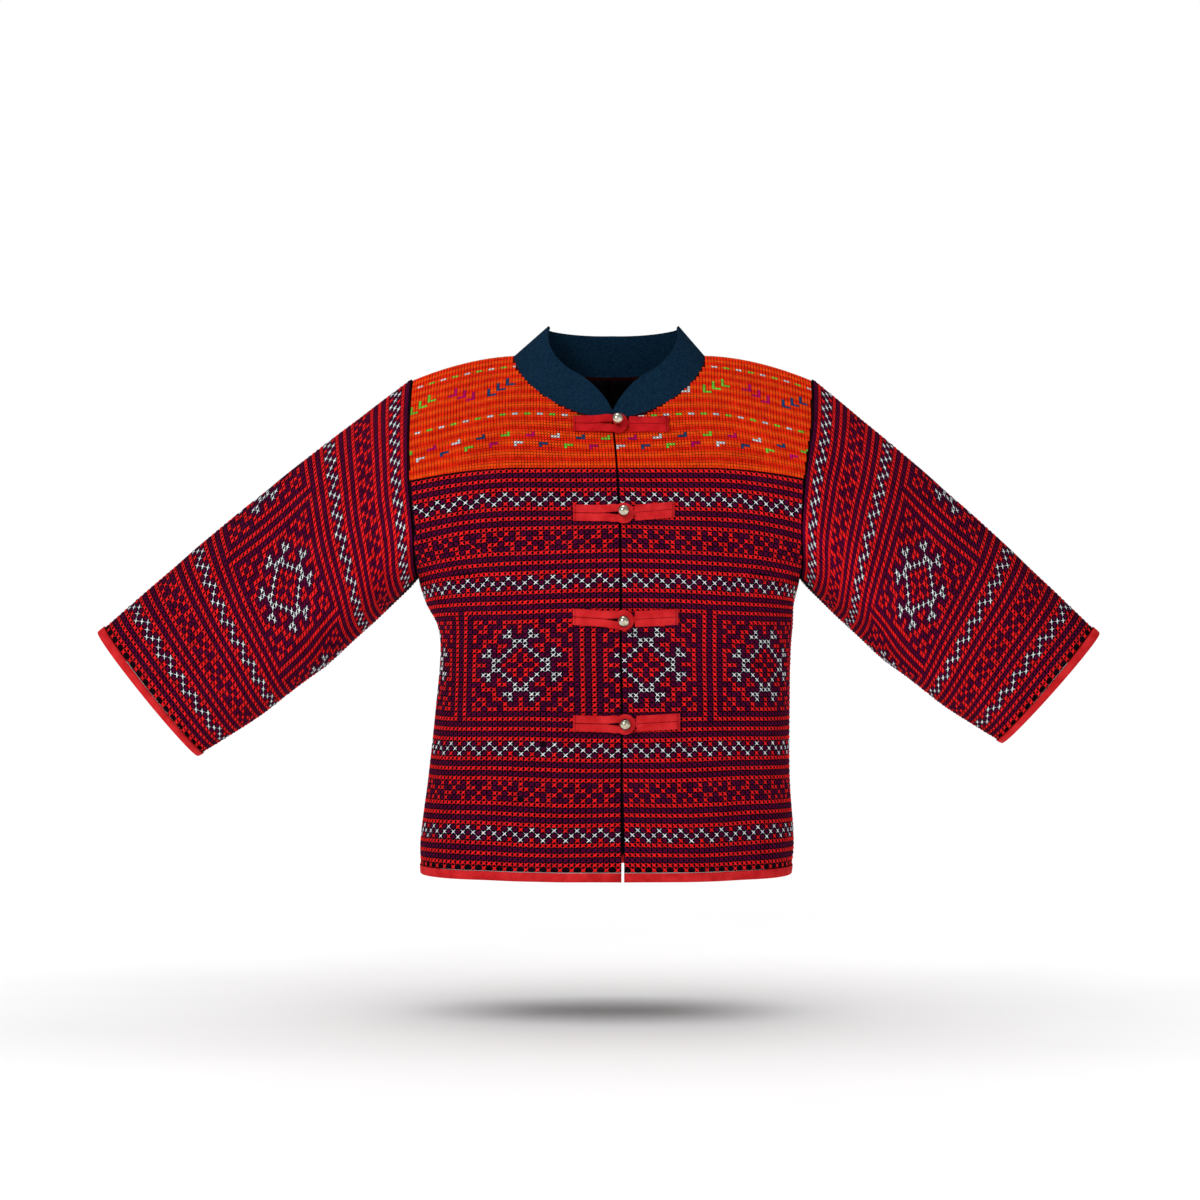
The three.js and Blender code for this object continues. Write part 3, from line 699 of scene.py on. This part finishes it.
# ---- yoke ----
# Two fronts and a back of finer work over the shoulders, in rows of orange thread with small
# stepped motifs, rows of dashes and a band of stepped strokes. It is sewn on above the panels.

NECK_BEND = {"front": 1.7, "back": 2}
NECK_DEPTH = {"front": 66.5, "back": 18}
YOKE_STITCH, YOKE_COLUMNS, YOKE_ROWS = 3.05, 70, 54
YOKE_CORE = (0, 0, -200)
MOTIF_ROWS, DASH_ROWS, STROKE_ROW, STROKE_HEIGHT = (8, 12), (21, 45), 31, 8
MOTIF_PERIOD, DASH_PERIOD = 8, 4  # columns from one motif or dash to the next
MOTIF_COLOURS, STROKE_COLOURS, ORANGES = "wbgk", "wgkb", "olod"
MOTIFS = ({(0, 0), (1, 0), (1, 1), (1, 2)}, {(0, 0), (0, 1), (0, 2), (1, 2)})
# The stepped strokes: columns from one group to the next, and where the first group starts on
# the left and on the right half.
STROKE_PERIOD, STROKE_START = 13, (16, -79)
YOKE_WAVER = 2.0  # the yoke's rows waver more than the panels' do
ground_orange = woven(
    "ground_orange", (0.02, 0.001, 0.001), (0.07, 0.004, 0.002), 0.95, 240, 0.5, 0.4
)
THREADS |= {
    "o": (thread("thread_orange", (0.98, 0.042, 0.004), 0.2), 0.84),
    "l": (thread("thread_light_orange", (1.0, 0.085, 0.005), 0.2), 0.88),
    "d": (thread("thread_deep_orange", (0.82, 0.016, 0.003), 0.2), 0.8),
    "g": (thread("thread_green", (0.2, 0.7, 0.05)), 0.62),
    "k": (thread("thread_pink", (0.62, 0.004, 0.16)), 0.62),
    "b": (thread("thread_blue", (0.004, 0.07, 0.2)), 0.62),
}


def neck(side, part):
    """Face, share and level of the neckline from centre front (0) to centre back (1)."""
    face = "front" if part < 0.5 else "back"
    angle = min(part, 1 - part) * math.pi
    power = 2 / NECK_BEND[face]
    x = NECK_HALF[side] * math.sin(angle) ** power
    level = min(-NECK_DEPTH[face] * max(math.cos(angle), 0) ** power, -0.02)
    return face, float(x / LEVEL[side](level)), level


def neck_level(face, side, share):
    """Height of the neckline above a share of the way to the side, or 0 past its end."""
    x = share * SHOULDER_X / NECK_HALF[side]
    power = NECK_BEND[face]
    return -NECK_DEPTH[face] * np.maximum(1 - x**power, 0) ** (1 / power)


def yoke_letter(row, column):
    """Orange rows with small stepped motifs, dashes and a band of stepped strokes."""
    for upper, first in enumerate(MOTIF_ROWS):
        step, k = divmod(column + MOTIF_PERIOD // 2 * upper, MOTIF_PERIOD)
        if (row - first, k) in MOTIFS[upper]:
            return MOTIF_COLOURS[(step + 2 * upper) % 4]
    if row in DASH_ROWS and column % DASH_PERIOD < DASH_PERIOD // 2:
        return "w" if column % (2 * DASH_PERIOD) < DASH_PERIOD else "g"
    if STROKE_ROW <= row <= STROKE_ROW + STROKE_HEIGHT:
        group, k = divmod(column - STROKE_START[column < 0], STROKE_PERIOD)
        across = k if group % 2 else 8 - k  # every second group falls instead of climbing
        for stroke in range(3):
            x, z = across - 3 * stroke, row - STROKE_ROW - 2 * stroke
            if (x == 0 and 0 <= z <= 3) or (z == 0 and 0 <= x <= 2):
                return STROKE_COLOURS[group % 4]
    return ORANGES[row % len(ORANGES)]


def yoke_grid(face, side, columns=30, rows=26):
    """Points of a yoke: columns climb to the neckline or, past its end, to the shoulder seam."""
    points = np.empty((rows + 1, columns + 1, 3))
    corner = NECK_HALF[side] / SHOULDER_X
    split = columns * 6 // 10
    for j in range(columns + 1):
        if j > split:
            share, top = mix(corner, 1, (j - split) / (columns - split)), -0.02
        else:
            part = 0.5 * j / split
            share, top = neck(side, part if face == "front" else 1 - part)[1:]
        level = mix(YOKE + SEAM / 2, top, 1 - (1 - np.linspace(0, 1, rows + 1)) ** 1.6)
        begin = free_edge(side, level) if face == "front" else 0 * level
        points[:, j] = body_out(face, side, np.maximum(share, begin), level, -STITCH_DEPTH)
    return points


def yoke_stitches(face, side):
    """The yoke's crosses, cut off at the neckline."""
    levels = row_levels(face, YOKE + 0.5, -0.6, YOKE_ROWS)

    def start(level):
        return float(free_edge(side, level)) + EDGE_SHARE if face == "front" else 0.0

    corners = stitch_corners(face, side, levels, YOKE_STITCH, start, YOKE_COLUMNS, YOKE_WAVER)
    for i, level in enumerate(levels):
        line = neck_level(face, side, np.abs(corners[i, :, 0]) / SHOULDER_X)
        corners[i, (line < -0.1) & (level > line - 0.6)] = np.nan
    return cross_stitches(
        f"yoke_{face}_{side}_stitches", corners,
        lambda r, c: yoke_letter(r, c if side == "left" else -1 - c),
        "oldgkbw", YOKE_CORE,
    )


for side in SIDES:
    panel = cloth(
        f"yoke_front_{side}_cloth", yoke_grid("front", side), CLOTH_WALL, ground_orange,
        f"yoke_front_{side}", core=YOKE_CORE,
    )
    worked = yoke_stitches("front", side)
grid = np.concatenate([yoke_grid("back", "right")[:, ::-1], yoke_grid("back", "left")[:, 1:]], 1)
panel = cloth(
    "yoke_back_cloth", grid, CLOTH_WALL, ground_orange, "yoke_back", core=YOKE_CORE
)
works = [yoke_stitches("back", side) for side in SIDES]

# ---- lining ----
# Black cotton inside the upper back, in two halves with a seam down the middle.
# It hangs from the neckline, a little clear of the yoke's wrong side.

LINING_FOOT, LINING_REACH, LINING_OUT, LINING_WALL = -105, 0.42, -4.3, 0.9
LINING_SEAM, LINING_SEAM_WIDTH = 0.5, 1.2  # height of the ridge at the centre seam, and width
LINING_ROWS, LINING_COLUMNS = 20, 18
lining_black = woven(
    "lining_black", (0.002, 0.0015, 0.003), (0.006, 0.004, 0.008), 0.8, 40, 0.35, 0.25
)

for side in SIDES:
    points = np.empty((LINING_ROWS, LINING_COLUMNS, 3))
    for j in range(LINING_COLUMNS):
        share, top = neck(side, 1 - LINING_REACH * j / (LINING_COLUMNS - 1))[1:]
        level = mix(LINING_FOOT, top - 2, np.linspace(0, 1, LINING_ROWS))
        ridge = LINING_SEAM * hump(j / LINING_SEAM_WIDTH)
        points[:, j] = body_out("back", side, max(share, 0.004), level, LINING_OUT + ridge)
    half = cloth(
        f"lining_{side}_cloth", points, LINING_WALL, lining_black, f"lining_{side}",
        core=(0, 0, -150),
    )

# ---- bindings ----
# Bright red strips folded over the raw edges of hem and cuffs and sewn down on both faces.
# The hem's strip is in three lengths, and each cuff's is one ring.

# The folded strip in section: (height above the edge, distance out from the cloth's face).
STRIP = (
    (9, 0.1),
    (8.4, 0.38),
    (4.5, 0.45),
    (1, 0.4),
    (0.1, -0.4),
    (0.1, -2),
    (1, -2.7),
    (4.5, -2.75),
    (9, -2.5),
)
STRIP_UP, STRIP_OUT = np.array(STRIP).T
STRIP_WALL, STRIP_FLAT = 0.35, 0.022
HEM_CORE = 60  # distance in front of or behind the middle of a spot that the strip faces away from
tape_red = woven("tape_red", (0.55, 0.012, 0.015), (0.72, 0.026, 0.03), 0.75, 90, 0.35, 0.35)


def strip_line(face, side, part):
    """The strip's section at a part of the way from the middle of a face to the side."""
    level = HEM + STRIP_UP
    begin = free_edge(side, level) if face == "front" else 0 * level
    share = mix(begin, 1, even_share(face, part, level))
    return body_out(face, side, share, level, STRIP_OUT)


def binding(node, grid, wraps, core):
    """One length of the folded strip."""
    strip = cloth(f"{node}_cloth", grid, STRIP_WALL, tape_red, node, wraps, core)


for side in SIDES:
    grid = np.stack([strip_line("front", side, part) for part in np.linspace(0, 1, 50)])
    node = f"hem_binding_front_{side}"
    binding(node, grid, False, (0, -HEM_CORE, HEM + 3))
    share = 1 - STRIP_UP[None, :] / SLEEVES[side]["length"]
    grid = sleeve_out(side, share, np.linspace(0, 1, 97)[:, None], STRIP_OUT[None, :])
    node = f"cuff_binding_{side}"
    binding(node, grid, True, (0, 0, None))
grid = np.stack(
    [
        strip_line("back", "right" if part < 0 else "left", abs(part))
        for part in np.linspace(-1, 1, 99)
    ]
)
core = (0, HEM_CORE, HEM + 3)
binding("hem_binding_back", grid, False, core)

# ---- collar ----
# A navy stand collar of doubled cotton, sewn round the neckline.
# Its front ends are rounded down to a V, and its left half stands a little more upright.

# The slant, from centre front (0) to centre back (1).
COLLAR = {
    "z": (0, 0.15, 0.3, 0.4, 0.5, 0.6, 0.75, 1),
    "inward": (2, 4, 17, 27, 33, 27, 12, 0),
    "backward": (10, 14, 10, 6, 0, -3, -7, -8),
    "up": (36, 36, 35, 32, 29, 33, 37, 39),
}
SLANT = {key: curve(COLLAR, key) for key in COLLAR if key != "z"}
COLLAR_ROUND, COLLAR_END, COLLAR_GAP, COLLAR_WALL = 0.16, 0.12, 0.6, 2.2
COLLAR_LEAN = {"right": 1, "left": 0.76}
COLLAR_LOW = -0.05  # the collar starts this share of its height below the seam
navy = woven(
    "navy_cotton", (0.0028, 0.014, 0.033), (0.006, 0.027, 0.055), 0.95, 420, 0.45, 0.5, (1, 1, 1.6)
)


def collar(turn, height):
    """Outer surface of the collar, from the right front end (-1) round the back to the left (1)."""
    side = "right" if turn < 0 else "left"
    part = 1 - abs(turn)
    face, share, level = neck(side, part)
    base = body(face, side, share, level)
    tall = mix(COLLAR_END, 1, 1 - (1 - min(part / COLLAR_ROUND, 1)) ** 2)
    rise = tall * height + 0.02
    x = SIGN[side] * base[0] - COLLAR_LEAN[side] * float(SLANT["inward"](part)) * rise
    y = base[1] + float(SLANT["backward"](part)) * rise
    z = base[2] + float(SLANT["up"](part)) * rise
    return np.array([SIGN[side] * max(x, COLLAR_GAP), y, z])


turns = np.sin(np.linspace(-1, 1, 161) * math.pi / 2)
heights = np.linspace(COLLAR_LOW, 1, 15)
grid = np.array([[collar(turn, height) for turn in turns] for height in heights])
stand = cloth("collar_cloth", grid, COLLAR_WALL, navy, "collar")
soft = stand.modifiers.new("edge", "BEVEL")
soft.width = 0.6 * MM
soft.segments = 2
soft.angle_limit = math.radians(60)

# ---- frogs ----
# Four fastenings of folded red tape, each a loop on the right front and a tab on the left one.
# They are sewn down along the middle and at their outer ends with small darker stitches.

# Button centre x and z, outer ends of loop and tab, fall of the loop, rise of the tab.
FROGS = (
    (5.4, -73.6, -38, 55, 1, 0),
    (10.8, -162, -38, 60, 1, 4),
    (10.7, -264, -38, 63, 3, 3),
    (12.2, -365, -38, 65, 1, 3),
)
TAPE_RUN, TAPE_WALL, TAPE_LIFT, LOOP_EYE, LOOP_RAISE = 7.8, 1.4, 0.4, 2.3, 1.9
LOOP_NECK = 9  # length over which the two runs of a loop spread round the stem
# The tape's crown: place across it, from edge to edge, and height as a share of its wall.
TAPE_CROWN = ((-1, 0.25), (-0.93, 0.7), (-0.5, 1), (0, 1.04), (0.5, 1), (0.93, 0.7), (1, 0.25))
SEWING_STEP, SEWING_TOP = 1.6, TAPE_LIFT + TAPE_WALL * 1.05
SEWING_HALF, SEWING_RISE = 0.36, 0.3  # half the width of a sewing stitch, and its height
deep_tape = woven("tape_deep_red", (0.42, 0.006, 0.01), (0.6, 0.012, 0.016), 0.75, 90, 0.35, 0.35)
seam_red = dyed("seam_red", (0.1, 0.002, 0.004), (0.2, 0.004, 0.007), 0.8, 300)[0]


def above_front(x, z, out):
    """A point above the fronts, so far out from the cloth."""
    centre = float(LEVEL["centre"](z))
    side = "right" if x < centre else "left"
    share = (x - centre) / (SIGN[side] * float(LEVEL[side](z)) - centre)
    return body_out("front", side, share, z, out)


def tape_piece(node, stations, finish):
    """Tape along stations of (x, z, (across x, across z), half width, lift): crowned, with hems."""
    grid = []
    for x, z, across, half, lift in stations:
        line = []
        for shift, tall in TAPE_CROWN:
            spot = (x + across[0] * shift * half, z + across[1] * shift * half)
            line.append(above_front(*spot, TAPE_LIFT + lift + TAPE_WALL * tall))
        grid.append(line)
    return cloth(f"{node}_tape", np.array(grid), TAPE_WALL * 0.7, finish, node)


def smooth_stations(stations, steps):
    """The same tape with more stations between, so that it bends smoothly."""
    table = np.array([[x, z, *across, half, lift] for x, z, across, half, lift in stations])
    at = np.linspace(0, len(table) - 1, steps)
    columns = [np.interp(at, np.arange(len(table)), column) for column in table.T]
    return [(x, z, (ax, az), half, lift) for x, z, ax, az, half, lift in zip(*columns)]


def loop_run(frog, k, half):
    """One station of a loop's two straight runs, above (1) or below (-1) the middle."""
    bx, bz, loop_end, _, fall, _ = frog
    x = loop_end + (bx - LOOP_NECK - loop_end) * k / 12
    near = float(ramp((x - bx + 3 * LOOP_NECK) / (1.5 * LOOP_NECK)))
    opened = float(ramp((x - bx + 2 * LOOP_NECK) / LOOP_NECK))
    spread = mix(TAPE_RUN / 2 + SEAM / 2, (LOOP_EYE + TAPE_RUN / 2) * 0.8, opened)
    drop = fall * (1 - (x - loop_end) / (bx - loop_end))
    return x, bz + drop + half * spread, (0, half), TAPE_RUN / 2, LOOP_RAISE * near


def loop_stations(frog):
    """A loop: in along its upper run, round the button's stem, and out along the lower run."""
    bx, bz = frog[:2]
    stations = [loop_run(frog, k, 1) for k in range(13)]
    for angle in np.linspace(2.2, -2.2, 17):
        way = (math.cos(angle), math.sin(angle))
        radius = LOOP_EYE + TAPE_RUN / 2
        spot = (bx + radius * way[0], bz + radius * way[1])
        stations.append((*spot, way, TAPE_RUN / 2, LOOP_RAISE))
    return stations + [loop_run(frog, k, -1) for k in range(12, -1, -1)]


def tab_height(frog, x):
    """Height of a tab's middle line, which may rise towards its outer end."""
    bx, bz, _, tab_end, _, rise = frog
    return bz + rise * (x - bx) / (tab_end - bx)


def tab_stations(frog):
    """A tab: a narrow tongue under the button, then the full width of the folded tape."""
    reach = frog[0] + LOOP_EYE + TAPE_RUN + 0.4
    places = [(frog[0] - 3, 2), (reach, 3)]
    places += [(x, TAPE_RUN) for x in np.linspace(reach + 0.6, frog[3], 9)]
    return [(x, tab_height(frog, x), (0, 1), half, 0) for x, half in places]


def sewing_ends(frog):
    """Start, end and height of each small stitch that holds a frog down."""
    _, bz, loop_end, tab_end, fall, _ = frog
    first = frog[0] + LOOP_EYE + TAPE_RUN + 1.4
    ends = []
    for k in range(int((tab_end - first) / SEWING_STEP)):
        x = first + SEWING_STEP * k
        ends.append(((x, tab_height(frog, x)), (x + 1.1, tab_height(frog, x + 1.1)), SEWING_TOP))
    for k in range(-4, 5):
        across = ((tab_end - 2.2, tab_height(frog, tab_end)), (loop_end + 2.2, bz + fall))
        for x, middle in across:
            z = middle + 1.7 * k
            ends.append(((x, z - 0.5), (x, z + 0.6), SEWING_TOP - 0.1))
    return ends


def sewing(name, ends):
    """Small sewing stitches, each a ridge cut from a grid two faces wide."""
    bm = bmesh.new()
    bm.loops.layers.uv.new("OFBake")
    bmesh.ops.create_grid(bm, x_segments=2, y_segments=2 * len(ends) - 1, size=0.5, calc_uvs=True)
    between = [face for k, face in enumerate(bm.faces) if k // 2 % 2 == 1]
    places = []
    for start, end, out in ends:
        a, b = above_front(*start, out), above_front(*end, out)
        across = unit(np.cross(b - a, np.array([0, -1, 0]))) * SEWING_HALF
        lift = np.array([0, -SEWING_RISE, 0])
        for spot in (a, b):
            places += [spot - across, spot + lift, spot + across]
    for vertex, point in zip(bm.verts, places):
        vertex.co = point * MM
    bmesh.ops.delete(bm, geom=between, context="FACES")
    return place_object(name, to_mesh(bm, name), [seam_red])


for number, frog in enumerate(FROGS, 1):
    finish = deep_tape if number == 1 else tape_red
    loop = tape_piece(f"frog_loop_{number}", smooth_stations(loop_stations(frog), 90), finish)
    tab = tape_piece(f"frog_tab_{number}", tab_stations(frog), finish)
    seam = sewing(f"frog_{number}_sewing", sewing_ends(frog))

# ---- buttons ----
# Four hollow balls of pale metal, pressed in two halves with a faint seam between.
# Each stands on a short stem that the loop passes round.

BUTTON_RADIUS, BUTTON_STEM, BUTTON_GAP = 5.8, 1.7, 0.9
BUTTON_SEAM, BUTTON_SEAM_WIDTH = 0.02, 0.05  # depth and width of the seam, in radii
BUTTON_OUT = TAPE_LIFT + LOOP_RAISE + TAPE_WALL + BUTTON_GAP + BUTTON_RADIUS
STEM_TOP, STEM_FOOT = 0.9 * BUTTON_RADIUS, BUTTON_OUT - TAPE_LIFT - TAPE_WALL - SEAM
pale_metal, shader = dyed("button_metal", (0.5, 0.44, 0.3), (0.72, 0.69, 0.58), 0.2, 220)
settle(shader, {"Metallic": 1, "Specular IOR Level": 0.5})

for number, (x, z, *_) in enumerate(FROGS, 1):
    foot = above_front(x, z, 0)
    out = unit(above_front(x, z, 1) - foot)
    bm = bmesh.new()
    bmesh.ops.create_uvsphere(bm, u_segments=40, v_segments=24, radius=BUTTON_RADIUS * MM)
    for vertex in bm.verts:
        off = vertex.co.z / (BUTTON_SEAM_WIDTH * BUTTON_RADIUS * MM)
        vertex.co *= 1 - BUTTON_SEAM * float(hump(off))
    stem = bmesh.ops.create_cone(
        bm, cap_ends=True, segments=16, radius1=BUTTON_STEM * MM, radius2=BUTTON_STEM * MM,
        depth=(STEM_FOOT - STEM_TOP) * MM,
    )
    middle = -(STEM_FOOT + STEM_TOP) / 2 * MM
    bmesh.ops.translate(bm, verts=stem["verts"], vec=(0, 0, middle))
    turn = Vector((0, 0, 1)).rotation_difference(Vector(out)).to_matrix()
    bmesh.ops.rotate(bm, verts=bm.verts, cent=(0, 0, 0), matrix=turn)
    bmesh.ops.translate(bm, verts=bm.verts, vec=(foot + out * BUTTON_OUT) * MM)
    name = f"button_{number}_ball"
    place_object(name, to_mesh(bm, name), [pale_metal], (f"button_{number}",))

# ---- floor, light and camera ----
# A wide white floor well below the hem, lit by the room and by a soft overhead light that
# passes the jacket by. The jacket is lit by the room and by three lamps that pass the floor by.

FLOOR_Z, FLOOR_HALF = -0.655, 40
EYE = (-0.012, -3.0, -0.245)
bm = bmesh.new()
bmesh.ops.create_grid(bm, x_segments=8, y_segments=8, size=FLOOR_HALF)
bmesh.ops.translate(bm, verts=bm.verts, vec=(0, 0, FLOOR_Z))
floor = add_object("floor", to_mesh(bm, "floor"))
floor.data.materials.append(dyed("floor_white", (0.88, 0.88, 0.88), (0.92, 0.92, 0.92), 0.95, 2)[0])

# The room is white to the eye, and lights the cloth more softly than that.
ROOM_LIGHT = 0.34
world = bpy.data.worlds.new("studio")
world.use_nodes = True
tree = world.node_tree
seen = tree.nodes.new("ShaderNodeLightPath")
strength = tree.nodes.new("ShaderNodeMapRange")
settle(strength, {"To Min": ROOM_LIGHT, "To Max": 1.0})
background = tree.nodes["Background"]
settle(background, {"Color": (1, 1, 1, 1)})
wire(
    tree,
    (seen, "Is Camera Ray", strength, "Value"),
    (strength, "Result", background, "Strength"),
)
bpy.context.scene.world = world

SKY_POWER, SKY_WIDTH = 2.55, 84  # width in degrees
sky = bpy.data.lights.new("overhead", "SUN")
sky.energy = SKY_POWER
sky.angle = math.radians(SKY_WIDTH)
overhead = add_object("overhead", sky)
overhead.location = (0, 0, 3)
floor_only = bpy.data.collections.new("floor_only")
floor_only.objects.link(floor)
overhead.light_linking.receiver_collection = floor_only
all_but_floor = bpy.data.collections.new("all_but_floor")
all_but_floor.objects.link(floor)
all_but_floor.collection_objects[0].light_linking.link_state = "EXCLUDE"


def soft_light(name, spot, aim, size, power):
    """A square lamp, in metres and watts, that lights all but the floor."""
    lamp = bpy.data.lights.new(name, "AREA")
    lamp.size = size
    lamp.energy = power
    lit = add_object(name, lamp)
    lit.location = spot
    lit.rotation_euler = (Vector(aim) - Vector(spot)).to_track_quat("-Z", "Y").to_euler()
    lit.light_linking.receiver_collection = all_but_floor


soft_light("key", (-1.6, -2.4, 1.3), (0, 0, -0.25), 1.0, 39)
soft_light("fill", (1.6, -2.8, 0.2), (0, 0, -0.25), 1.4, 6.5)
soft_light("top", (-0.3, 0.1, 1.9), (0, 0, -0.6), 0.9, 12)

camera = bpy.data.cameras.new("camera")
camera.lens = 90
camera.sensor_width = 36
view = add_object("camera", camera)
view.location = EYE
view.rotation_euler = (math.pi / 2, 0, 0)
bpy.context.scene.camera = view
bpy.context.scene.view_settings.view_transform = "Standard"
